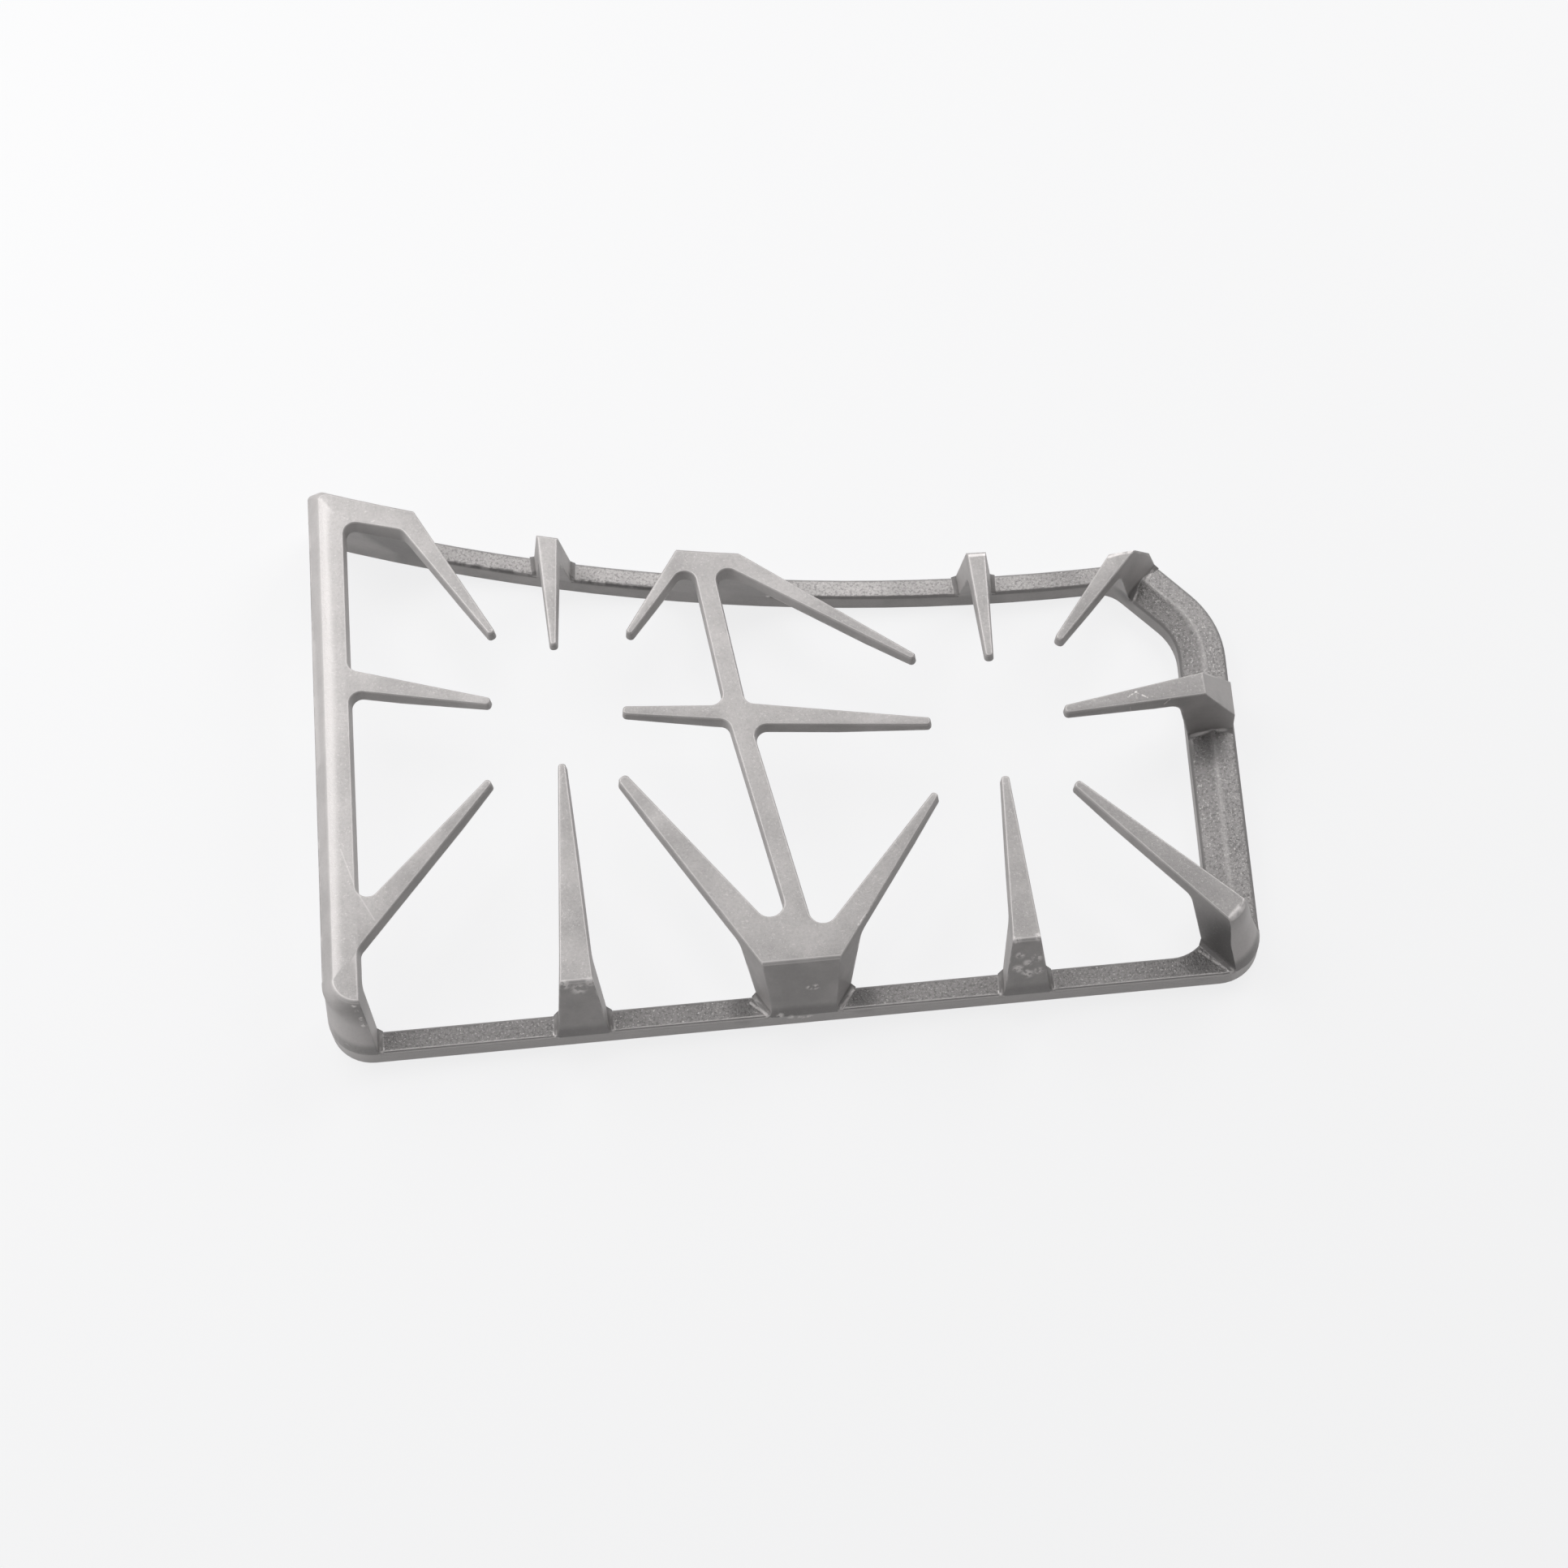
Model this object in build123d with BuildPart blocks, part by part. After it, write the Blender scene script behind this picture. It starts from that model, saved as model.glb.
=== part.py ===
"""Cast-iron pan support that covers two burners of a gas hob, in millimetres.

It is one casting. A low rim stands on the hob plate along the back, the right and the front.
Legs rise from the rim and run out into tapered fingers, and the fingers, the spine with its cross
and the bar on the left all end in one flat pan plane.

X runs along the straight front rim, Y from the front to the back, and Z up. While it is drawn,
X = 0 lies halfway between the burners and Y = 0 is the front face of the rim.
"""

import os
from collections import namedtuple
from math import atan2, cos, degrees, radians, sin, sqrt, tan

from build123d import *

# Heights above the hob plate
pan_height = 46.0
rim_height = 10.0
crest_rise = 3.0
crest_root = 5.0
crease_height = 27.0
bevel_height = 38.4
facet_height = 21.0
finger_depth = 7.4
tip_depth = 5.0

# Side walls lean out towards the hob plate by this angle, so that the pattern leaves the sand
draft = 6.0

# Burners, and the two rings on which the fingers end
burner_half_pitch = 105.0
left_burner_y = 157.5
right_burner_y = 129.5
straight_ring = 32.3
diagonal_ring = 50.9
root_ring = 76.0

# Outer edge of the rim: a straight front, a leaning right side, a cut corner and a bowed back
rim_left = -224.6
rim_right = 217.0
right_slope = 0.04
cut_corner_x = 197.5
cut_corner_y = 221.5
cut_corner_slope = -1.2
back_arc_radius = 1018.0
back_arc_x = 150.0
back_arc_y = 225.0
right_corner_radius = 53.0
back_corner_radius = 16.0
bar_end_radius = 3.0

# Section of the rim
front_rim_width = 11.6
back_rim_width = 10.7
right_rim_width = 23.0
crest_inset = 11.5
rim_edge = 1.2
inner_corner_radius = 20.0

# Front corners of the outer faces at the rim, at a soft crease, under the bevel and at the pan plane
rim_corner_radius = 21.0
crease_corner_radius = 22.0
bevel_corner_radius = 15.0
pan_corner_radius = 13.0

# How far the outer faces lean in between the rim and the pan plane
front_lean = 12.6
back_lean = 6.4
arm_lean = 4.1
right_lean = 9.5
bar_lean = 2.3
bar_bevel = 5.3
facet_lean = 17.5
shoulder_lean = 13.5
shoulder_turn = 4.6
shoulder_x = 176.5
upright_inset = 1.0

# How far the inner faces of the legs lean in between the rim and the undersides of the fingers
front_leg_lean = 15.5
corner_leg_lean = 11.5
back_leg_lean = 6.0
right_leg_lean = 6.5
arch_radius = 5.5
foot_size = 2.2

# Foot under the front end of the bar
corner_foot_width = 15.0
corner_foot_depth = 27.0

# Bar, arm and spine on the pan plane
bar_inner_x = -204.8
arm_start_y = 276.4
arm_end_x = -172.0
arm_end_y = 260.8
spine_width = 9.5
spine_top_x = -31.0
spine_cross_x = -18.6
spine_cross_y = 142.0
spine_foot_x = 6.1
spine_foot_y = 8.0

# Rounding on the pan plane: a tip by a share of its width, a corner of the spine's foot as a fork
tip_round = 0.42
web_radius = 5.8
fork_radius = 6.8
fork_limit_y = 45.0
corner_turn = 0.01

# Edges of the pan plane along the fingers and over the outer faces
pan_edge = 0.6
pan_edge_angle = 45.0
brow = 1.4

# What a later cut trims reaches this far past it, and the cut along the pan edge this far
reach = 30.0
edge_reach = 7.5

left_burner = Vector(-burner_half_pitch, left_burner_y)
right_burner = Vector(burner_half_pitch, right_burner_y)

# Each finger ends on a ring of its burner, at an angle, and widens evenly to its root
Finger = namedtuple("Finger", "burner ring angle tip_width root_x root_y root_width")
left_1 = Finger(left_burner, diagonal_ring, 124.8, 3.3, -187.0, 291.9, 12.7)
left_2 = Finger(left_burner, straight_ring, 89.5, 3.0, -104.1, 275.0, 13.0)
left_3 = Finger(left_burner, diagonal_ring, 43.4, 3.1, -28.8, 247.6, 9.0)
left_4 = Finger(left_burner, straight_ring, 171.8, 3.8, -210.9, 182.6, 11.6)
left_5 = Finger(left_burner, straight_ring, -11.9, 4.2, -16.1, 143.5, 8.4)
left_6 = Finger(left_burner, diagonal_ring, 227.8, 3.4, -213.5, 39.3, 13.6)
left_7 = Finger(left_burner, straight_ring, 271.1, 3.3, -104.3, -15.0, 18.4)
left_8 = Finger(left_burner, diagonal_ring, 304.1, 5.0, 9.9, -15.2, 19.6)
right_1 = Finger(right_burner, diagonal_ring, 135.6, 3.1, -32.1, 241.4, 10.5)
right_2 = Finger(right_burner, straight_ring, 90.4, 3.5, 105.0, 245.0, 11.8)
right_3 = Finger(right_burner, diagonal_ring, 48.4, 3.7, 194.2, 234.7, 12.2)
right_4 = Finger(right_burner, straight_ring, 179.5, 3.8, -19.9, 143.7, 11.8)
right_5 = Finger(right_burner, straight_ring, 0.0, 4.2, 249.9, 141.1, 16.6)
right_6 = Finger(right_burner, diagonal_ring, 228.2, 3.2, -11.8, -14.6, 18.6)
right_7 = Finger(right_burner, straight_ring, 269.3, 3.6, 104.9, -15.0, 16.2)
right_8 = Finger(right_burner, diagonal_ring, 309.9, 3.9, 226.7, -7.4, 16.2)

# Height of the undersides of the fingers at their roots
ceiling = pan_height - finger_depth


def back_y(x, inset=0.0):
    """Y of the bowed back edge at x, inset from the outer edge of the rim."""
    return back_arc_y + back_arc_radius - sqrt((back_arc_radius + inset) ** 2 - (x - back_arc_x) ** 2)


def right_x(y, inset=0.0):
    """X of the leaning right edge at y, inset from the outer edge of the rim."""
    return rim_right + right_slope * y - inset * sqrt(1 + right_slope**2)


def frame_corners(left, front, right, back):
    """Corners of the rim's outline: left is an X, front a Y, right and back are insets."""
    cut_y = cut_corner_y - cut_corner_slope * cut_corner_x - right * sqrt(1 + cut_corner_slope**2)
    low_y = (cut_y + cut_corner_slope * right_x(0, right)) / (1 - cut_corner_slope * right_slope)
    top_x = (back_y(cut_corner_x, back) - cut_y) / cut_corner_slope
    return [
        (left, front),
        (right_x(front, right), front),
        (right_x(low_y, right), low_y),
        (top_x, back_y(top_x, back)),
        (left, back_y(left, back)),
    ]


def frame_outline(height, left, front, right, back, front_radius, left_radius):
    """Face inside the rim's outline at a height, with its corners rounded."""
    corners = frame_corners(left, front, right, back)
    radii = [front_radius, front_radius, right_corner_radius - right, back_corner_radius, left_radius]
    middle_x = (corners[3][0] + corners[4][0]) / 2
    with BuildSketch(Plane.XY.offset(height)) as outline:
        with BuildLine():
            Polyline(*corners[:4])
            ThreePointArc(corners[3], (middle_x, back_y(middle_x, back)), corners[4])
            Line(corners[4], corners[0])
        make_face()
        for corner, radius in zip(corners, radii):
            fillet(outline.vertices().sort_by_distance((*corner, height))[0], radius)
    return outline.sketch


def outer_outline(height, front_radius, back_lean_in=back_lean, inset=0.0, left_inset=0.0):
    """Outline of the outer faces, which lean in from the rim to the pan plane."""
    rise = max(0.0, (height - rim_height) / (pan_height - rim_height))
    above_bevel = max(0.0, (height - bevel_height) / (pan_height - bevel_height))
    left = rim_left + bar_lean * rise + bar_bevel * above_bevel + left_inset
    front = front_lean * rise + inset
    right = right_lean * rise + inset
    back = back_lean_in * rise + inset
    return frame_outline(height, left, front, right, back, front_radius, bar_end_radius)


def inner_outline(height, lean, front_lean_in=0.0):
    """Outline of the space inside the rim, which runs out under the bar on the left."""
    return frame_outline(
        height,
        rim_left - 2 * inner_corner_radius - reach,
        front_rim_width + front_lean_in * lean,
        right_rim_width + right_leg_lean * lean,
        back_rim_width + back_leg_lean * lean,
        inner_corner_radius,
        inner_corner_radius,
    )


def taper(start, end, start_width, end_width):
    """Straight bar between two points that changes its width evenly."""
    start, end = Vector(*start), Vector(*end)
    side = (end - start).normalized().rotate(Axis.Z, 90)
    near, far = side * (start_width / 2), side * (end_width / 2)
    Polygon(start + near, start - near, end - far, end + far, align=None)


def tip_of(shape):
    """Middle of a finger's tip, on the ring of its burner."""
    angle = radians(shape.angle)
    return shape.burner + Vector(cos(angle), sin(angle)) * shape.ring


def finger(shape):
    """Tapered finger from its tip to its root."""
    tip = tip_of(shape)
    taper((tip.X, tip.Y), (shape.root_x, shape.root_y), shape.tip_width, shape.root_width)


def arm_end(shape):
    """Where the front edge of the arm meets the middle line of the finger that it carries."""
    start = Vector(rim_left, arm_start_y)
    edge = Vector(arm_end_x, arm_end_y) - start
    root = Vector(shape.root_x, shape.root_y)
    run = tip_of(shape) - root
    return start + edge * ((root - start).cross(run).Z / edge.cross(run).Z)


def corners_of(plan, inwards):
    """Corners of a plan within the rim at which its outline turns inwards, or else outwards."""
    wire = plan.face().outer_wire()
    edges = wire.order_edges()
    corners = []
    for edge, following in zip(edges, edges[1:] + edges[:1]):
        corner = edge @ 1
        turn = (edge % 1).cross(following % 0).Z * wire.normal().Z
        within = 0 < corner.Y < back_y(corner.X)
        if within and abs(turn) > corner_turn and (turn < 0) == inwards:
            corners.append(corner)
    return corners


def round_corners(plan, fork_below=0.0):
    """Round the corners of a plan drawn at the pan plane, as forks below a Y."""
    for corner in corners_of(plan, True):
        radius = fork_radius if corner.Y < fork_below else web_radius
        fillet(plan.vertices().sort_by_distance(corner)[0], radius)
    tips = corners_of(plan, False)
    for corner in tips:
        width = min((corner - other).length for other in tips if other is not corner)
        fillet(plan.vertices().sort_by_distance(corner)[0], tip_round * width)


def grown(plan, height, amount):
    """Plan at a height, grown outwards by an amount."""
    with BuildSketch(Plane.XY.offset(height)) as outline:
        add(plan.sketch)
        offset(amount=amount)
    return outline.sketch


def cast(plan, block, hollow, end=None):
    """Solid that leans out from a plan on the pan plane, cut to a block and hollowed below."""
    slope = tan(radians(draft))
    foot_growth = (pan_height - rim_height) * slope + foot_size
    foot_angle = degrees(atan2(1 + slope, 1))
    edge_start = pan_height - 2 * pan_edge
    with BuildPart() as edge:
        extrude(grown(plan, edge_start, edge_reach), amount=2 * pan_edge)
        kept = grown(plan, edge_start, pan_edge)
        extrude(kept, amount=2 * pan_edge, taper=pan_edge_angle, mode=Mode.SUBTRACT)
    with BuildPart() as casting:
        extrude(grown(plan, 0, pan_height * slope), amount=pan_height, taper=draft)
        extrude(grown(plan, rim_height, foot_growth), amount=foot_size, taper=foot_angle)
        add(edge.part, mode=Mode.SUBTRACT)
        add(block, mode=Mode.INTERSECT)
        if end:
            split(bisect_by=end, keep=Keep.BOTTOM)
        add(hollow, mode=Mode.SUBTRACT)
    return casting.part


def outer_block(back_lean_in):
    """Block that the outer faces of the casting are cut from."""
    with BuildPart() as block:
        add(outer_outline(0, rim_corner_radius, back_lean_in))
        add(outer_outline(rim_height, rim_corner_radius, back_lean_in))
        add(outer_outline(crease_height, crease_corner_radius, back_lean_in))
        add(outer_outline(bevel_height, bevel_corner_radius, back_lean_in))
        add(outer_outline(pan_height - brow, pan_corner_radius, back_lean_in))
        add(outer_outline(pan_height, pan_corner_radius - brow, back_lean_in, brow, pan_edge))
        loft(ruled=True)
    return block.part


leg_block = outer_block(back_lean)
arm_block = outer_block(arm_lean)


def leg_hollow(front_lean_in):
    """Space under the fingers, arched where the legs meet them and higher towards the burners."""
    with BuildPart() as hollow:
        add(inner_outline(-reach, 0))
        add(inner_outline(rim_height, 0))
        add(inner_outline(ceiling, 1, front_lean_in))
        loft(ruled=True)
        fillet(hollow.faces().sort_by(Axis.Z)[-1].edges(), arch_radius)
        for burner in (left_burner, right_burner):
            with BuildSketch(Plane.XY.offset(ceiling)):
                with Locations(burner):
                    Circle(root_ring)
            with BuildSketch(Plane.XY.offset(pan_height - tip_depth)):
                with Locations(burner):
                    Circle(straight_ring)
            loft()
    return hollow.part


middle_hollow = leg_hollow(front_leg_lean)

# The front corners are steeper inside, and the foot under the bar is left in
with BuildPart() as corner_hollow:
    add(leg_hollow(corner_leg_lean))
    with BuildSketch(Plane.XY.offset(-reach)):
        Polygon(
            (rim_left - 2 * reach, -reach),
            (rim_left + corner_foot_width, -reach),
            (rim_left + corner_foot_width, corner_foot_depth),
            (rim_left - 2 * reach, corner_foot_depth),
            align=None,
        )
    extrude(amount=pan_height + reach, mode=Mode.SUBTRACT)

# Bar on the left, the arm at its back end and the three fingers that grow from them
with BuildSketch() as comb_plan:
    Polygon(
        (rim_left - reach, -reach),
        (bar_inner_x, -reach),
        (bar_inner_x, back_y(bar_inner_x) + reach),
        (rim_left - reach, back_y(rim_left) + reach),
        align=None,
    )
    Polygon(
        (rim_left, arm_start_y),
        arm_end(left_1),
        (left_1.root_x, left_1.root_y),
        (rim_left, back_y(rim_left)),
        align=None,
    )
    for shape in (left_1, left_4, left_6):
        finger(shape)
    round_corners(comb_plan)

# Spine between the burners, with its cross and the fingers at both of its ends
with BuildSketch() as spine_plan:
    cross = (spine_cross_x, spine_cross_y)
    taper((spine_top_x, back_y(spine_top_x)), cross, spine_width, spine_width)
    taper(cross, (spine_foot_x, spine_foot_y), spine_width, spine_width)
    for shape in (left_3, left_5, left_8, right_1, right_4, right_6):
        finger(shape)
    round_corners(spine_plan, fork_limit_y)


def single(shape):
    """Plan of a finger that stands on its own leg."""
    with BuildSketch() as plan:
        finger(shape)
        round_corners(plan)
    return plan


# The outer ends of two fingers on the right are cut back by a slope of their own
facet = Plane(
    origin=(right_x(right_5.root_y, facet_lean), right_5.root_y, pan_height),
    z_dir=(pan_height - facet_height, 0, facet_lean),
)
shoulder = Plane(
    origin=(shoulder_x, back_y(shoulder_x, shoulder_lean), pan_height),
    z_dir=Vector(0, pan_height - rim_height, shoulder_lean).rotate(Axis.Z, shoulder_turn),
)

# Block with upright sides, for the finger whose end stands straight up from the rim
with BuildPart() as upright_block:
    extrude(outer_outline(0, rim_corner_radius, inset=upright_inset), amount=pan_height)

# Low rim, open under the bar
with BuildPart() as rim:
    extrude(outer_outline(0, rim_corner_radius), amount=rim_height)
    extrude(inner_outline(0, 0), amount=rim_height, mode=Mode.SUBTRACT)
    chamfer(rim.faces().sort_by(Axis.Z)[-1].edges(), rim_edge)

# Soft ridge along the wide right side of the rim
with BuildPart() as crest:
    ridge = frame_corners(rim_left, rim_corner_radius, crest_inset, crest_inset)
    with BuildLine() as crest_line:
        FilletPolyline(*ridge[1:4], radius=right_corner_radius - crest_inset)
    with BuildSketch(Plane(origin=crest_line.line @ 0, x_dir=(-1, 0, 0), z_dir=crest_line.line % 0)):
        Polygon(
            (rim_edge - crest_inset, rim_height),
            (0, rim_height + crest_rise),
            (right_rim_width - crest_inset - rim_edge, rim_height),
            (0, crest_root),
            align=None,
        )
    sweep()

# Everything becomes one casting
with BuildPart() as casting:
    add(rim.part)
    add(crest.part)
    add(cast(comb_plan, arm_block, corner_hollow.part))
    add(cast(single(right_8), leg_block, corner_hollow.part))
    add(cast(spine_plan, leg_block, middle_hollow))
    for shape in (left_2, left_7, right_2, right_7):
        add(cast(single(shape), leg_block, middle_hollow))
    add(cast(single(right_3), leg_block, middle_hollow, shoulder))
    add(cast(single(right_5), upright_block.part, middle_hollow, facet))

# It stands on the origin, at the middle of its bounding box
box = casting.part.bounding_box()
with BuildPart() as pan_support:
    add(casting.part.moved(Location((-box.center().X, -box.center().Y, -box.min.Z))))

pan_support.part.label = "pan_support"
os.makedirs("parts", exist_ok=True)
export_step(pan_support.part, "parts/pan_support.step")
print("pan_support:", pan_support.part.bounding_box().size, "centre while drawn:", box.center())
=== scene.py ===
# %% [markdown]
# # A cast-iron pan support and its finish
# The solid was drawn in CAD: one iron casting with a low rim, legs that rise from it and tapered
# fingers that carry the pans. Here it gets its skin, its finish, a studio and a camera.
# Everything is in metres and in the frame of the CAD model, so nothing has to be fitted by eye.

# %% Load the casting
import math

import bmesh
import bpy
from mathutils import Matrix, Vector


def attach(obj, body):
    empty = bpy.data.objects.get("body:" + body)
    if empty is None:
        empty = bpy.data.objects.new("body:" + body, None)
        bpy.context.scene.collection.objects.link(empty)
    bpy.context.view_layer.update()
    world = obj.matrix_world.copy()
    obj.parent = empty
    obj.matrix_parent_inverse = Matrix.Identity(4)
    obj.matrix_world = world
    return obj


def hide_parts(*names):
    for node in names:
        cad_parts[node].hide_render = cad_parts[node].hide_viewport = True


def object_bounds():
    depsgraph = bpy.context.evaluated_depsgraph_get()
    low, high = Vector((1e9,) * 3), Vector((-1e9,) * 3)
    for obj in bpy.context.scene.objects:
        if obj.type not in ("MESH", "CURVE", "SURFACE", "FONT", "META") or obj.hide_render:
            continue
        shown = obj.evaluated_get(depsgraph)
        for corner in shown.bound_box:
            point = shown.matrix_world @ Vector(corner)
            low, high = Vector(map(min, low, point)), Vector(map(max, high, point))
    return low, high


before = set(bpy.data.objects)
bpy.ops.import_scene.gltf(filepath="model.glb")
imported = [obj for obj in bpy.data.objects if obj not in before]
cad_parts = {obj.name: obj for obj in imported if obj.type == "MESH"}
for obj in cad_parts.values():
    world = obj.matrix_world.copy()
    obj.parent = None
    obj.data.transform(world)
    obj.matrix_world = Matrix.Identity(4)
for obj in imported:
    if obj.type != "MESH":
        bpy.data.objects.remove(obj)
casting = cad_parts["pan_support"]
cad_box = [list(corner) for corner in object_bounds()]
mm = 0.001
print("casting:", len(casting.data.polygons), "triangles,", [round(v, 4) for v in cad_box[1]])

# %% [markdown]
# ## Writing a finish as sums
# A finish is a graph of shader nodes, and long graphs are hard to read as code. One small class
# wraps a socket, so that `1 - mask` or `grain * 0.4` adds its own Math node, and its method `node`
# makes every other kind of node. The finish then reads like a recipe.

# %% Sockets that can be added and multiplied
class Shade:
    """A socket of a node tree, or the way to add nodes to that tree."""

    def __init__(self, tree, socket=None):
        self.tree = tree
        self.socket = socket

    def node(self, kind, settings=None, sockets=None, output=0):
        """Add a node, set it up, fill its sockets and return one of its outputs."""
        made = self.tree.nodes.new(kind)
        for name, value in (settings or {}).items():
            setattr(made, name, value)
        for name, value in (sockets or {}).items():
            if isinstance(value, Shade):
                self.tree.links.new(value.socket, made.inputs[name])
            else:
                made.inputs[name].default_value = value
        return Shade(self.tree, made.outputs[output] if made.outputs else None)

    def sum(self, operation, first, second=0.0):
        return self.node("ShaderNodeMath", {"operation": operation}, {0: first, 1: second})

    def vector(self, operation, *inputs, output=0):
        return self.node("ShaderNodeVectorMath", {"operation": operation}, dict(enumerate(inputs)), output)

    def __add__(self, other):
        return self.sum("ADD", self, other)

    def __sub__(self, other):
        return self.sum("SUBTRACT", self, other)

    def __rsub__(self, other):
        return self.sum("SUBTRACT", other, self)

    def __mul__(self, other):
        return self.sum("MULTIPLY", self, other)

    __radd__ = __add__
    __rmul__ = __mul__

    def rise(self, low, high):
        """0 below low, 1 above high and a soft step between them."""
        return self.node(
            "ShaderNodeMapRange",
            {"interpolation_type": "SMOOTHSTEP"},
            {"Value": self, "From Min": low, "From Max": high},
        )

    def past(self, low, high):
        """The same soft step for a length, with its limits in millimetres."""
        return self.rise(low * mm, high * mm)

    def short_of(self, low, high):
        """1 below low and 0 above high, in millimetres."""
        return 1 - self.past(low, high)

    def either(self, other):
        return self.sum("MAXIMUM", self, other)

    def blend(self, other, amount):
        """This colour, mixed with another one by an amount."""
        return self.node("ShaderNodeMix", {"data_type": "RGBA"}, {0: amount, 6: self, 7: other}, 2)


def grey(level):
    """A grey that leans a little to red, as bare iron does."""
    return (level * 1.045, level, level * 0.985, 1.0)


iron = bpy.data.materials.new("satin_cast_iron")
iron.use_nodes = True
iron.node_tree.nodes.clear()
ink = Shade(iron.node_tree)
place = ink.node("ShaderNodeTexCoord", output="Object")
print("finish started:", iron.name)

# %% [markdown]
# ## Where on the casting a point lies
# The rims came out of the mould coarse, the pan plane finer, and the outer faces of the legs almost
# smooth. The front and right rims are also painted darker than the pan plane, as shade. A point's
# place, its height above the hob and the way its face looks tell these apart, so no image texture is
# needed. The rim's top lies 10 mm above the hob, the ridge on its right side 13 mm and the pan plane 46
# mm.

# %% Place and direction
across = ink.node("ShaderNodeSeparateXYZ", None, {0: place}, "X")
depth = ink.node("ShaderNodeSeparateXYZ", None, {0: place}, "Y")
height = ink.node("ShaderNodeSeparateXYZ", None, {0: place}, "Z")
true_normal = ink.node("ShaderNodeNewGeometry", output="True Normal")
facing_up = ink.node("ShaderNodeSeparateXYZ", None, {0: true_normal}, "Z")
facing_right = ink.node("ShaderNodeSeparateXYZ", None, {0: true_normal}, "X")
facing_left = 0.0 - facing_right
level_face = facing_up.rise(0.80, 0.95)
steep_face = 1 - level_face
low_part = height.short_of(13.5, 18)
print("place, height and direction")

# %% The parts of the casting
rim_face = level_face * low_part
back_rim = rim_face * depth.past(55, 65) * across.short_of(126, 160)
# Painted shade: every rim but the back one is darkened.
painted_rim_shade = rim_face - back_rim
right_rim = rim_face * across.past(150, 165) * depth.past(-125, -110)
# Painted shade: the inner slope of the right rim, facing away from the light, is darker.
inner_slope_shade = right_rim * facing_left.rise(0.05, 0.2)
# Painted highlight along the crest of the ridge on the right rim.
ridge_highlight = right_rim * height.past(12.35, 12.95)
# Painted highlight: the front faces of the rim are paler.
lit_rim_front = depth.short_of(-143, -138) * steep_face * height.short_of(9, 10.5)
rim_middle = across.past(-140, -30) * across.short_of(195, 215)
# Painted shade on the flares where the legs meet the rim.
foot_flare_shade = facing_up.rise(0.15, 0.4) * steep_face * height.past(8, 9.5) * low_part
pan_face = level_face * height.past(42, 45)
upper_part = height.past(30, 36)
print("masks: rims, ridge, feet, pan plane")

# %% [markdown]
# ## Edges and corners
# Handling rubs the outer edges bright, and the edge lines of the pan plane and of the front rim get
# a painted highlight. The inner corners are darkened, partly as scale and dust and partly as painted
# shade. A Bevel node gives the normal that a slightly rounded edge would have: where it departs from
# the flat normal there is an edge. Ambient occlusion tells outer edges, looked for inside the metal,
# from corners. Neither depends on where the camera stands.

# %% Edge wear, painted edge highlights, and dust and painted shade in corners
edge_radius = 1.2 * mm
edge_reach = 1.4 * mm
corner_reach = 7 * mm


def occlusion(distance, inside):
    """How open a point is within a distance, outside the metal or inside it."""
    settings = {"inside": inside, "only_local": True, "samples": 8}
    return ink.node("ShaderNodeAmbientOcclusion", settings, {"Distance": distance}, "AO")


def speckle(scale, detail=2.0, roughness=0.5):
    """Noise with so many lumps per metre."""
    sockets = {"Vector": place, "Scale": scale, "Detail": detail, "Roughness": roughness}
    return ink.node("ShaderNodeTexNoise", None, sockets, "Fac")


rounded_normal = ink.node("ShaderNodeBevel", {"samples": 6}, {"Radius": edge_radius})
alike = ink.vector("DOT_PRODUCT", rounded_normal, true_normal, output="Value")
edge_line = (1 - alike).rise(0.012, 0.06)
outer_edge = 1 - occlusion(edge_reach, True)
inner_corner = 1 - occlusion(corner_reach, False)
# Painted highlights along the edge lines of the pan plane and of the front rim.
pan_edge_highlight = edge_line * height.past(41, 44)
rim_edge_highlight = edge_line * height.short_of(10.5, 12) * depth.short_of(-145, -143.5)
# Painted highlight along the creases where the legs meet the rim.
foot_highlight_line = edge_line * height.past(8.5, 9.5) * low_part * inner_corner.rise(0.12, 0.3)
worn = outer_edge.rise(0.12, 0.42) * height.past(16, 24) * speckle(110, 3.0).rise(0.42, 0.66)
# Dust and painted shade in the inner corners.
dust_and_corner_shade = inner_corner.rise(0.18, 0.75)
print("edge wear and corners")

# %% [markdown]
# ## Marks of use
# The photograph shows pale rub marks on the front legs, nicks at the front left corner, fine
# scratches on the bar and on one finger, and bright lines where some legs meet the rim, which are
# painted here as highlights, as are part of the pale ends of some fingers. Each is a distance in
# space: to a point for a spot and to a short line for a scratch. Noise breaks them up, so that they
# don't look drawn. The lists hold places and sizes in millimetres.

# %% Spots and scratches as distances
solid_core = 0.3


def spot(x, y, z, radius):
    """1 in the core of a ball about a point, fading to 0 at its radius."""
    gap = ink.vector("DISTANCE", place, (x * mm, y * mm, z * mm), output="Value")
    return gap.short_of(solid_core * radius, radius)


def scratch(start, end, width):
    """1 along a short line, fading to 0 at its width."""
    start, end = Vector(start) * mm, Vector(end) * mm
    run = end - start
    share = ink.vector("DOT_PRODUCT", place, tuple(run / run.length_squared), output="Value")
    share = (share - start.dot(run) / run.length_squared).either(0.0)
    share = ink.sum("MINIMUM", share, 1.0)
    nearest = ink.vector("MULTIPLY_ADD", share, tuple(run), tuple(start))
    gap = ink.vector("DISTANCE", place, nearest, output="Value")
    return gap.short_of(solid_core * width, width)


def any_of(shape, marks):
    """The strongest of several marks at each point."""
    found = shape(*marks[0])
    for mark in marks[1:]:
        found = found.either(shape(*mark))
    return found


print("shapes of marks: spot, scratch")

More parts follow.
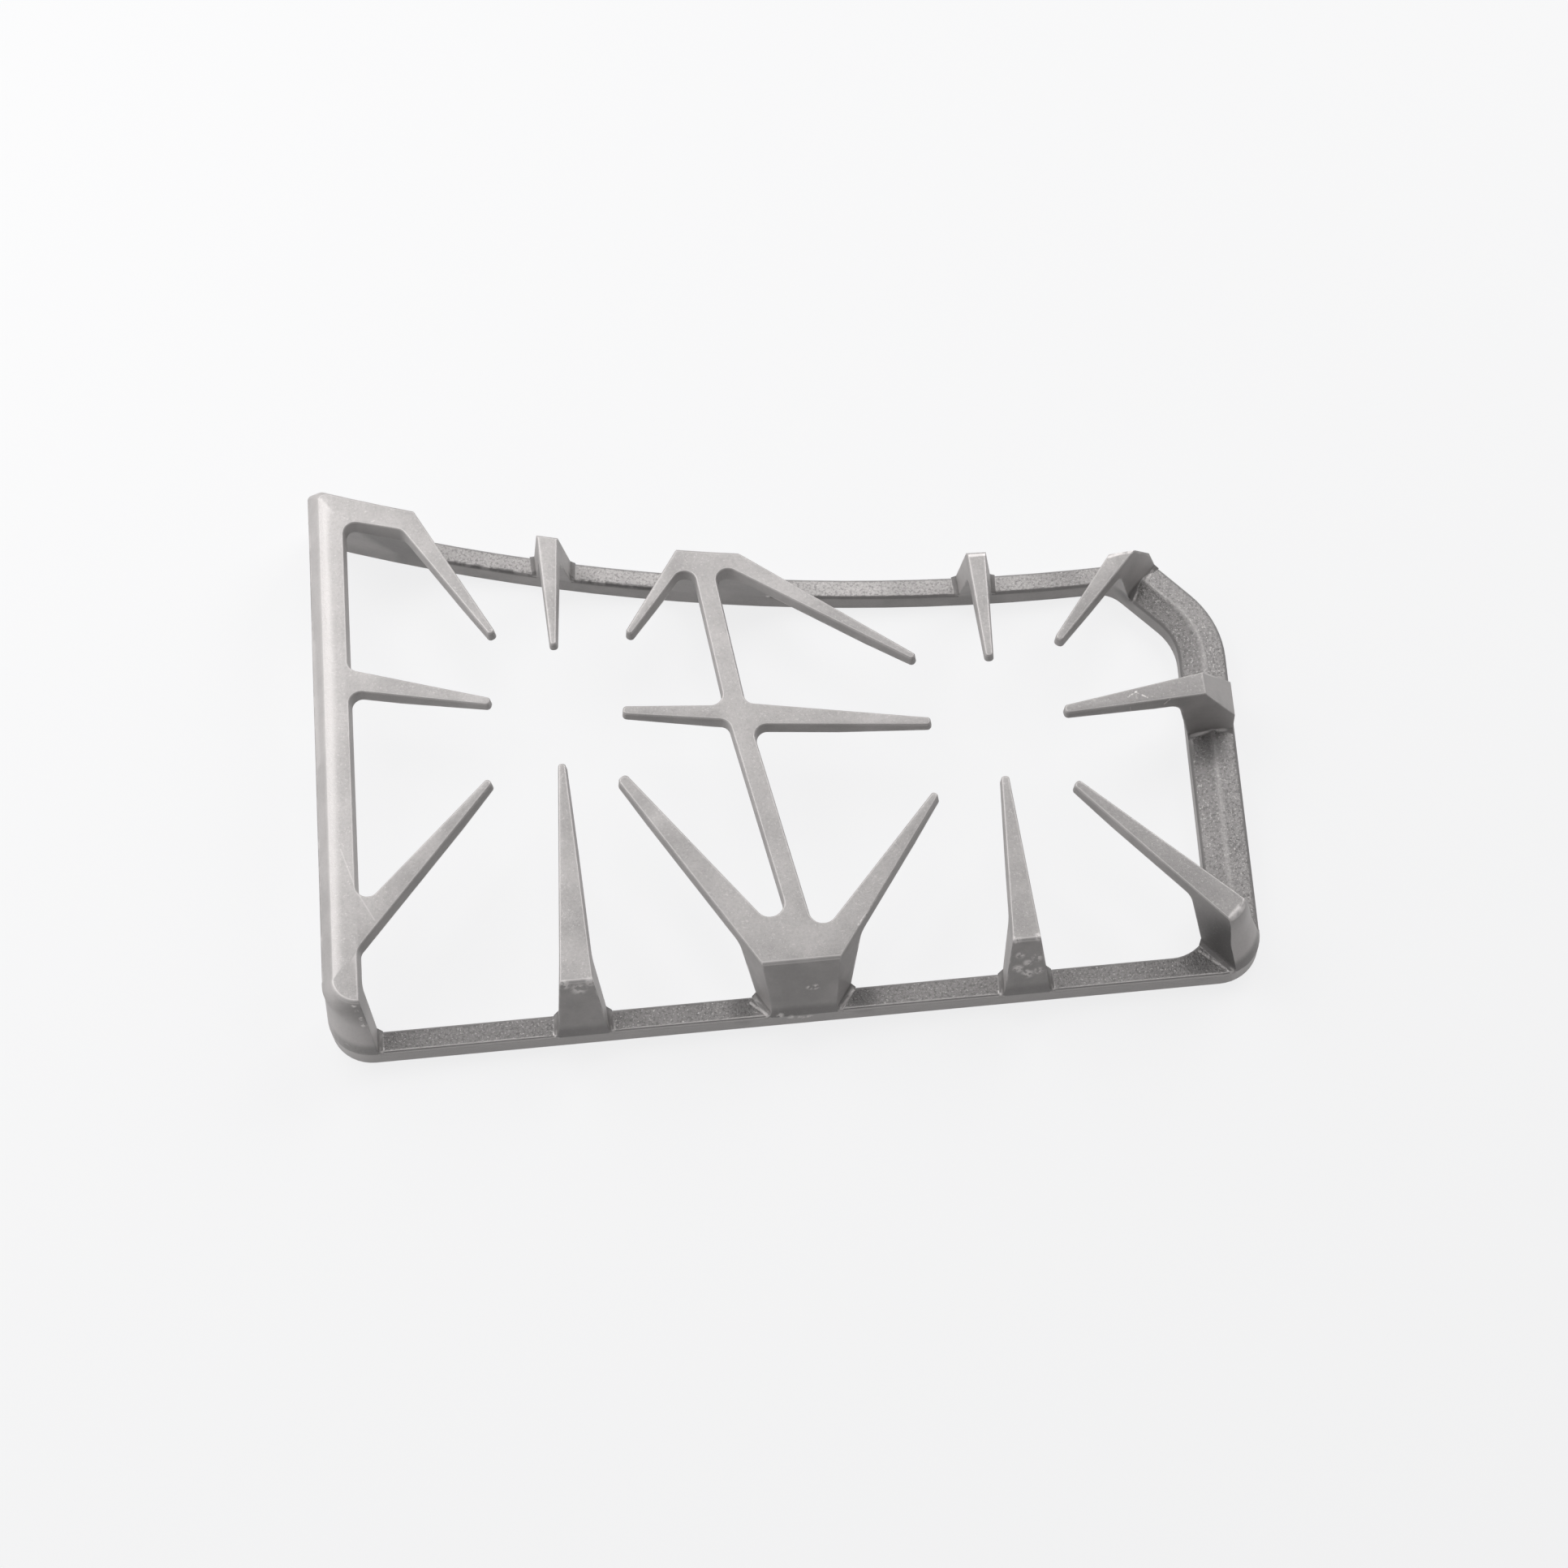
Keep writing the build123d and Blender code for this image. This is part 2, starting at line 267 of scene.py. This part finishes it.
# %% Scuffs and nicks
right_leg_scuffs = [
    (102.0, -138.4, 36.0, 3.0), (109.8, -139.3, 33.4, 3.5), (105.5, -140.2, 30.8, 3.0),
    (101.0, -141.4, 27.5, 3.7), (105.3, -142.7, 23.7, 4.2), (110.6, -142.3, 24.9, 3.2),
    (100.6, -134.4, 45.3, 2.8), (111.0, -134.0, 45.4, 2.8),
]
left_leg_scuffs = [(-109.5, -135.6, 44.2, 3.6), (-97.4, -135.4, 44.8, 3.6), (-103.2, -136.6, 41.0, 5.0)]
centre_leg_scuffs = [
    (3.6, -141.2, 27.9, 2.6), (6.4, -141.2, 27.9, 2.6), (-11.4, -147.1, 11.0, 2.4),
    (-6.5, -147.5, 8.6, 2.6), (-1.5, -147.5, 7.4, 2.6), (2.3, -147.5, 7.4, 2.4),
]
back_rim_scuffs = [(2.5, 77.6, 10.9, 2.0)]
corner_nicks = [
    (-207.1, -135.6, 43.6, 1.6), (-205.2, -138.7, 35.1, 1.4), (-205.0, -140.3, 30.3, 1.8),
    (-206.4, -137.0, 40.0, 1.2), (-205.3, -139.4, 33.0, 1.2),
]
scuffs = right_leg_scuffs + left_leg_scuffs + centre_leg_scuffs + back_rim_scuffs
rubbed = any_of(spot, scuffs) * speckle(420, 3.0, 0.6).rise(0.40, 0.56)
chipped = any_of(spot, corner_nicks) * speckle(700).rise(0.40, 0.55)
print("marks:", len(scuffs), "scuffs,", len(corner_nicks), "nicks")

# %% Scratches, bright ends and faint lines
scratches = [
    ((168.4, -14.8, 46.0), (173.0, -12.3, 46.0), 0.5),
    ((172.4, -12.3, 46.0), (177.6, -16.1, 46.0), 0.5),
    ((185.7, -18.2, 41.7), (188.3, -17.8, 45.2), 0.6),
    ((169.2, -18.6, 43.1), (169.3, -18.9, 40.0), 0.5),
    ((40.9, -104.3, 45.1), (28.4, -119.9, 46.0), 0.9),
]
# Pale ends of some fingers: partly polish from use, partly a painted highlight on their rounded ends.
bright_ends = [
    ((201.0, -133.4, 46.0), (206.4, -128.2, 46.0), 2.6),
    ((102.3, 70.2, 46.0), (109.5, 70.2, 46.0), 1.2),
    ((169.2, 62.3, 45.5), (175.0, 63.7, 46.0), 1.2),
    ((175.0, 63.7, 46.0), (181.0, 63.9, 46.0), 1.2),
]
faint_lines = [
    ((-210.6, -56.6, 46.0), (-203.7, -79.0, 46.0), 0.5),
    ((-203.7, -79.0, 46.0), (-195.7, -94.8, 46.0), 0.5),
    ((-221.9, 56.6, 38.7), (-221.0, -7.0, 39.8), 4.5),
]
scored = any_of(scratch, scratches) * speckle(900).rise(0.35, 0.55)
polish_and_highlight = any_of(scratch, bright_ends) * speckle(260, 3.0).rise(0.30, 0.50)
hazy = any_of(scratch, faint_lines)
print("marks:", len(scratches) + len(faint_lines), "scratches,", len(bright_ends), "bright ends")

# %% Painted highlights in the creases and painted shade at the feet of the legs
# Painted highlights along the creases at the feet of some legs.
highlighted_creases = [
    ((201.0, -21.5, 11.4), (216.0, -20.2, 12.2), 1.3),
    ((216.0, -20.2, 12.2), (221.5, -19.2, 9.6), 1.3),
    ((183.0, 56.3, 9.4), (191.7, 67.3, 12.2), 1.3),
    ((191.7, 67.3, 12.2), (194.8, 71.6, 11.3), 1.1),
    ((188.7, -134.1, 10.0), (199.5, -144.3, 10.0), 0.9),
    ((-24.8, -139.1, 10.0), (-17.6, -145.8, 10.4), 1.0),
    ((16.3, -147.0, 10.7), (24.0, -137.5, 10.0), 1.0),
]
# Painted shade about the feet of some legs.
foot_shade_spots = [
    (208.0, -30.0, 12.0, 13.0), (188.0, -139.0, 10.0, 11.0), (28.0, -141.0, 10.0, 10.0),
    (-29.0, -141.0, 10.0, 10.0), (182.0, 62.0, 11.0, 10.0),
]
crease_highlight = any_of(scratch, highlighted_creases) * speckle(300).rise(0.30, 0.50)
foot_shade = any_of(spot, foot_shade_spots) * low_part
print("marks:", len(highlighted_creases), "creases,", len(foot_shade_spots), "sooty feet")

# %% [markdown]
# ## The seam on the back rim
# Where the two halves of a mould meet, a little iron can creep into the seam and is broken off later.
# The dark, uneven line on the inner edge of the bowed back rim is most likely such a seam; its
# darkness is painted shade. The rim is an arc, so the line is every point at the arc's radius from
# its centre, cut to the stretch where it shows.

# %% A dark line along the arc
bow_centre = (150.4 * mm, 1095.5 * mm, 0.0)
bow_radius = 1027.4 * mm
flat = (1.0, 1.0, 0.0)
from_centre = ink.vector("MULTIPLY_ADD", place, flat, tuple(-value for value in bow_centre))
off_arc = ink.sum("ABSOLUTE", ink.vector("LENGTH", from_centre, output="Value") - bow_radius)
# Painted shade along the seam.
seam_shade = off_arc.short_of(0.5, 1.5) * height.past(8, 9) * low_part
seam_shade = seam_shade * across.past(-158, -150) * across.short_of(-48, -40)
seam_shade = seam_shade * speckle(160, 3.0).rise(0.40, 0.55)
print("burr: radius", round(bow_radius, 4))

# %% [markdown]
# ## The iron itself
# The metal is a warm mid grey with a satin gleam: partly metallic and rough, with tiny bright
# glints painted into its colour where the sand left facets. The colour is built in layers, from the
# broad tones that differ from place to place to the small marks on top; many of these layers are
# painted light and shade. Each layer is a grey and how much of it covers the last.

# %% Broad tones from place to place, painted light and shade among them
mottle = speckle(38, 4.0, 0.6).rise(0.28, 0.72)
tone = ink.node("ShaderNodeMix", {"data_type": "RGBA"}, {0: mottle, 6: grey(0.34), 7: grey(0.46)}, 2)
# Painted shade: the fingers on the right are darkened.
right_finger_shade = pan_face * across.past(112, 165) * depth.short_of(30, 55)
left_back_rim = back_rim * across.short_of(-130, -60)
# Painted highlight: a pale patch on the pan plane over the spine.
spine_highlight = spot(-12.0, 42.0, 46.0, 50.0) * pan_face
# Painted highlight: the bar on the left and its outer bevel are paler, as lit from the left.
left_bar_highlight = upper_part * across.short_of(-212, -190) * depth.past(-100, -40)
bar_bevel_highlight = upper_part * across.short_of(-218, -214)
# Painted highlight on the steep faces of the front left corner, as lit from the left.
left_corner_highlight = spot(-214.0, -141.0, 20.0, 22.0) * (1 - facing_up.rise(0.4, 0.6))
right_leg = spot(207.0, -137.0, 24.0, 36.0) * steep_face
# Painted shade on the steep faces under the arm at the back left.
arm_web_shade = spot(-184.0, 121.0, 22.0, 34.0) * depth.short_of(121, 124) * steep_face
broad_layers = [
    (0.21, right_finger_shade * 0.45),
    (0.26, left_back_rim * 0.45),
    (0.60, left_bar_highlight * 0.16),
    (0.62, bar_bevel_highlight * 0.3),
    (0.60, spine_highlight * 0.22),
    # Painted shade on the front and right rims, a little less in the middle and on the right.
    (0.17, painted_rim_shade * (0.85 - rim_middle * 0.2) - right_rim * 0.28),
    (0.11, inner_slope_shade * 0.2),
    (0.55, lit_rim_front * 0.5),
    (0.62, left_corner_highlight * 0.75),
    # Painted shade on the left side of the front right leg and a painted highlight on its right side.
    (0.05, right_leg * facing_left.rise(0.0, 0.25) * 0.85),
    (0.75, right_leg * facing_right.rise(0.1, 0.4) * 0.5),
    (0.10, arm_web_shade * 0.45),
    (0.14, foot_flare_shade * 0.6),
]
for level, cover in broad_layers:
    tone = tone.blend(grey(level), cover)
print("broad tones:", len(broad_layers))

# %% Grit, dirt, wear, marks, painted glints, painted highlights and painted shade
pitted = 1 - speckle(700, 4.0, 0.65).rise(0.36, 0.54)
# Painted glints: small bright flecks in the colour.
painted_glints = speckle(900, 3.0, 0.7).rise(0.56, 0.70)
small_layers = [
    (0.03, pitted * (rim_face * 0.4 + pan_face * 0.06 + 0.04)),
    (0.80, painted_glints * (painted_rim_shade * 0.5 + back_rim * 0.34 + pan_face * 0.22 + 0.08)),
    (0.45, ridge_highlight * 0.4),
    (0.08, seam_shade * 0.7),
    (0.10, dust_and_corner_shade * 0.65),
    (0.05, foot_shade * 0.5),
    (0.60, (foot_highlight_line * 0.4).either(crease_highlight * 0.7)),
    (0.72, (pan_edge_highlight * 0.5).either(rim_edge_highlight * 0.85).either(worn * 0.7)),
    (0.82, (rubbed * 0.85).either(scored * 0.65).either(chipped * 0.95).either(hazy * 0.22)),
    (0.85, polish_and_highlight * 0.8),
]
for level, cover in small_layers:
    tone = tone.blend(grey(level), cover)
print("small layers:", len(small_layers))

# %% [markdown]
# ## Grain and gloss
# The finest grain is bump, coarser on the rims than on the pan plane, and it stands on the rounded
# normal, so that every edge looks a little soft, as sand leaves it. The edges are the least rough.

# %% The finished surface
coarse = speckle(800, 3.0, 0.6)
fine = speckle(1900, 2.0, 0.6)
grain = coarse * (rim_face * 0.9 + 0.1) + fine * (rim_face * 0.3 + pan_face * 0.3 + 0.18)
bump_sockets = {"Strength": 0.9, "Distance": 0.4 * mm, "Height": grain, "Normal": rounded_normal}
bumped = ink.node("ShaderNodeBump", None, bump_sockets)
roughness = 0.50 - rim_face * 0.10 + mottle * 0.06 - edge_line * 0.12
iron_sockets = {"Base Color": tone, "Metallic": 0.3, "Roughness": roughness, "Normal": bumped}
surface = ink.node("ShaderNodeBsdfPrincipled", None, iron_sockets)
ink.node("ShaderNodeOutputMaterial", None, {"Surface": surface})
print("iron:", len(iron.node_tree.nodes), "nodes")

# %% [markdown]
# ## The skin of the casting
# A CAD mesh is loose triangles, so its shading breaks at every facet. The skin is a copy with its
# corners welded. The top faces of the rims are cut into a grid of small cells, because the sand of
# the mould left lumps there that stand up from the surface, and lumps need points to move.

# %% Weld the copy
weld_gap = 0.002 * mm
skin = bpy.data.objects.new("iron_casting", casting.data.copy())
bpy.context.scene.collection.objects.link(skin)
metal = bmesh.new()
metal.from_mesh(skin.data)
bmesh.ops.remove_doubles(metal, verts=metal.verts, dist=weld_gap)
print("welded:", len(metal.verts), "points")

# %% Cut the rims into cells
cell = 0.8 * mm
same_point = 0.01 * mm
above_ridge = 14 * mm
nearly_level = 0.93


def on_rim(face):
    """True for the faces on top of the rim, the ridge's slopes among them."""
    return face.normal.z > nearly_level and face.calc_center_median().z < above_ridge


def cut_apart(faces, axis, low, high):
    """Halve the faces across an axis again and again, until each slice is one cell wide."""
    steps = round((high - low) / cell)
    if steps < 2 or not faces:
        return faces
    middle = low + (steps // 2) * cell
    point, direction = Vector((0, 0, 0)), Vector((0, 0, 0))
    point[axis], direction[axis] = middle, 1.0
    edges = {edge for face in faces for edge in face.edges}
    corners = {corner for face in faces for corner in face.verts}
    before = set(faces)
    cut = bmesh.ops.bisect_plane(
        metal, geom=[*corners, *edges, *faces], plane_co=point, plane_no=direction, dist=same_point
    )
    pieces = before | {item for item in cut["geom"] if isinstance(item, bmesh.types.BMFace)}
    lower = [face for face in pieces if face.calc_center_median()[axis] < middle]
    upper = [face for face in pieces if face.calc_center_median()[axis] >= middle]
    return cut_apart(lower, axis, low, middle) + cut_apart(upper, axis, middle, high)


rim_cells = [face for face in metal.faces if on_rim(face)]
for axis in (0, 1):
    start = cad_box[0][axis] - cell / 2
    rim_cells = cut_apart(rim_cells, axis, start, cad_box[1][axis] + cell / 2)
open_edges = sum(len(edge.link_faces) != 2 for edge in metal.edges)
print("rim:", len(rim_cells), "cells,", open_edges, "open edges")

# %% Mark the points that may move
sharp_bend = math.radians(50)
room = metal.verts.layers.float.new("room")
inside = set(rim_cells)
for corner in metal.verts:
    corner[room] = float(all(face in inside for face in corner.link_faces))
for face in metal.faces:
    face.smooth = True
for edge in metal.edges:
    edge.smooth = edge.calc_face_angle(0.0) < sharp_bend
metal.to_mesh(skin.data)
metal.free()
skin.data.materials.clear()
skin.data.materials.append(iron)
print("points that may move:", sum(value.value > 0.5 for value in skin.data.attributes["room"].data))

# %% [markdown]
# ## Sand texture
# The lumps follow the surface, which is what Geometry Nodes is for: every free point of the rim
# moves along its normal by a noise that depends on its place. The height and the number of the lumps
# and the seed are inputs of the group, so the casting can be made coarser or finer in one place.

# %% Inputs of the group
lump_sizes = {"Lump Height": 0.5 * mm, "Lumps Per Metre": 620.0, "Seed": 7.0}
sand = bpy.data.node_groups.new("sand_texture", "GeometryNodeTree")
sand.interface.new_socket("Geometry", in_out="INPUT", socket_type="NodeSocketGeometry")
sand.interface.new_socket("Geometry", in_out="OUTPUT", socket_type="NodeSocketGeometry")
inlets = {
    label: sand.interface.new_socket(label, in_out="INPUT", socket_type="NodeSocketFloat")
    for label in lump_sizes
}
print("inputs:", list(inlets))

# %% Points that move along their normals
lumps = Shade(sand)


def setting(label):
    return lumps.node("NodeGroupInput", output=label)


here = lumps.node("GeometryNodeInputPosition")
noise_sockets = {"Vector": here, "W": setting("Seed"), "Scale": setting("Lumps Per Metre"), "Detail": 1.0}
noise = lumps.node("ShaderNodeTexNoise", {"noise_dimensions": "4D"}, noise_sockets)
free = lumps.node("GeometryNodeInputNamedAttribute", {"data_type": "FLOAT"}, {"Name": "room"})
lift = (noise - 0.5) * setting("Lump Height") * free
outward = lumps.node("GeometryNodeInputNormal")
offset = lumps.node("ShaderNodeVectorMath", {"operation": "SCALE"}, {0: outward, "Scale": lift})
moved = lumps.node("GeometryNodeSetPosition", None, {"Geometry": setting("Geometry"), "Offset": offset})
whole = lumps.node("GeometryNodeRealizeInstances", None, {"Geometry": moved})
coated = lumps.node("GeometryNodeSetMaterial", None, {"Geometry": whole, "Material": iron})
lumps.node("NodeGroupOutput", None, {"Geometry": coated})
print("sand texture:", len(sand.nodes), "nodes")

# %% [markdown]
# ## One plain mesh
# The Weighted Normal modifier lets the broad faces set the shading, so that the small chamfers
# between them read as rounded edges. Then both modifiers are made real, because the piece that
# stands for the casting has to be a plain mesh.

# %% Make the modifiers real
sanded = skin.modifiers.new("sand_texture", "NODES")
sanded.node_group = sand
for label, value in lump_sizes.items():
    sanded[inlets[label].identifier] = value
weighted = skin.modifiers.new("broad_faces_first", "WEIGHTED_NORMAL")
weighted.mode = "FACE_AREA_WITH_ANGLE"
weighted.keep_sharp = True
bpy.context.view_layer.update()
solid = bpy.data.meshes.new_from_object(skin.evaluated_get(bpy.context.evaluated_depsgraph_get()))
skin.modifiers.clear()
skin.data = solid
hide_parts("pan_support")
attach(skin, "root")

# %% [markdown]
# ## Studio
# To the camera, and to rays that the metal sends on, the floor and the room are almost white. To all
# other rays both are dim, so that little light comes up from below and the casting keeps its dark
# sides. The lamps are broad and soft: one above and behind, one on each side at the back and a weak
# one low on the left. The pan plane and the bar on the left catch them, and the fronts stay darker.

# %% Paper floor
floor_size = 6.0
floor_drop = 0.2 * mm
pale = (0.95, 0.95, 0.955, 1.0)
dull = (0.3, 0.3, 0.3, 1.0)
glow_share = 0.85


def seen_directly(shade):
    """1 for rays from the camera and for the rays that metal or glass sends on, else 0."""
    seen = shade.node("ShaderNodeLightPath", output="Is Camera Ray")
    for ray in ("Is Glossy Ray", "Is Transmission Ray"):
        seen = seen.either(shade.node("ShaderNodeLightPath", output=ray))
    return seen


bpy.ops.mesh.primitive_plane_add(size=floor_size, location=(0, 0, -floor_drop))
floor = bpy.context.object
floor.name = "studio_floor"
paper = bpy.data.materials.new("pale_paper")
paper.use_nodes = True
paper.node_tree.nodes.clear()
sheet = Shade(paper.node_tree)
seen = seen_directly(sheet)
paper_tone = sheet.node("ShaderNodeMix", {"data_type": "RGBA"}, {0: seen, 6: dull, 7: pale}, 2)
matte = sheet.node("ShaderNodeBsdfDiffuse", None, {"Color": paper_tone})
glow = sheet.node("ShaderNodeEmission", None, {"Color": pale, "Strength": 1.0})
backlit = sheet.node("ShaderNodeMixShader", None, {0: seen * glow_share, 1: matte, 2: glow})
sheet.node("ShaderNodeOutputMaterial", None, {"Surface": backlit})
floor.data.materials.append(paper)
print("floor:", floor.name)

# %% Lamps
lamp_size = (1.0, 0.8)


def soft_lamp(name, spot_in_room, power):
    lamp = bpy.data.lights.new(name, "AREA")
    lamp.shape = "RECTANGLE"
    lamp.size, lamp.size_y = lamp_size
    lamp.energy = power
    holder = bpy.data.objects.new(name, lamp)
    holder.location = spot_in_room
    holder.rotation_euler = (-Vector(spot_in_room)).to_track_quat("-Z", "Y").to_euler()
    bpy.context.scene.collection.objects.link(holder)
    return holder


lamps = [
    soft_lamp("top_lamp", (0.0, 0.6, 1.7), 4.6),
    soft_lamp("left_lamp", (-0.6, 0.5, 0.7), 6.2),
    soft_lamp("right_lamp", (0.9, 0.9, 0.9), 9.6),
    soft_lamp("side_fill", (-1.3, -0.3, 0.5), 4.0),
]
print("lamps:", [lamp.name for lamp in lamps])

# %% White room
room_light = 0.10
room_white = 1.0
world = bpy.data.worlds.new("studio_light")
world.use_nodes = True
world.node_tree.nodes.clear()
sky = Shade(world.node_tree)
dim = sky.node("ShaderNodeBackground", None, {"Color": pale, "Strength": room_light})
bright = sky.node("ShaderNodeBackground", None, {"Color": pale, "Strength": room_white})
backdrop = sky.node("ShaderNodeMixShader", None, {0: seen_directly(sky), 1: dim, 2: bright})
sky.node("ShaderNodeOutputWorld", None, {"Surface": backdrop})
bpy.context.scene.world = world
print("world:", world.name)

# %% [markdown]
# ## Camera
# The picture's vanishing points give the lens and the camera's place: it looks down on the casting
# from the front, turned a little, so the axes are written down as measured.

# %% Camera and colour
camera_spot = (-0.0196, -0.7086, 1.4293)
right = Vector((0.9957, -0.0888, -0.0282))
up = Vector((0.0922, 0.8970, 0.4323))
back = right.cross(up).normalized()
up = back.cross(right.normalized())
turn = Matrix((right.normalized(), up, back)).transposed()
camera_data = bpy.data.cameras.new("front_camera")
camera_data.sensor_width = 36.0
camera_data.lens = 74.36
camera = bpy.data.objects.new("front_camera", camera_data)
camera.matrix_world = Matrix.Translation(camera_spot) @ turn.to_4x4()
bpy.context.scene.collection.objects.link(camera)
bpy.context.scene.camera = camera
bpy.context.scene.view_settings.view_transform = "Standard"
print("camera:", [round(v, 3) for v in camera.location])
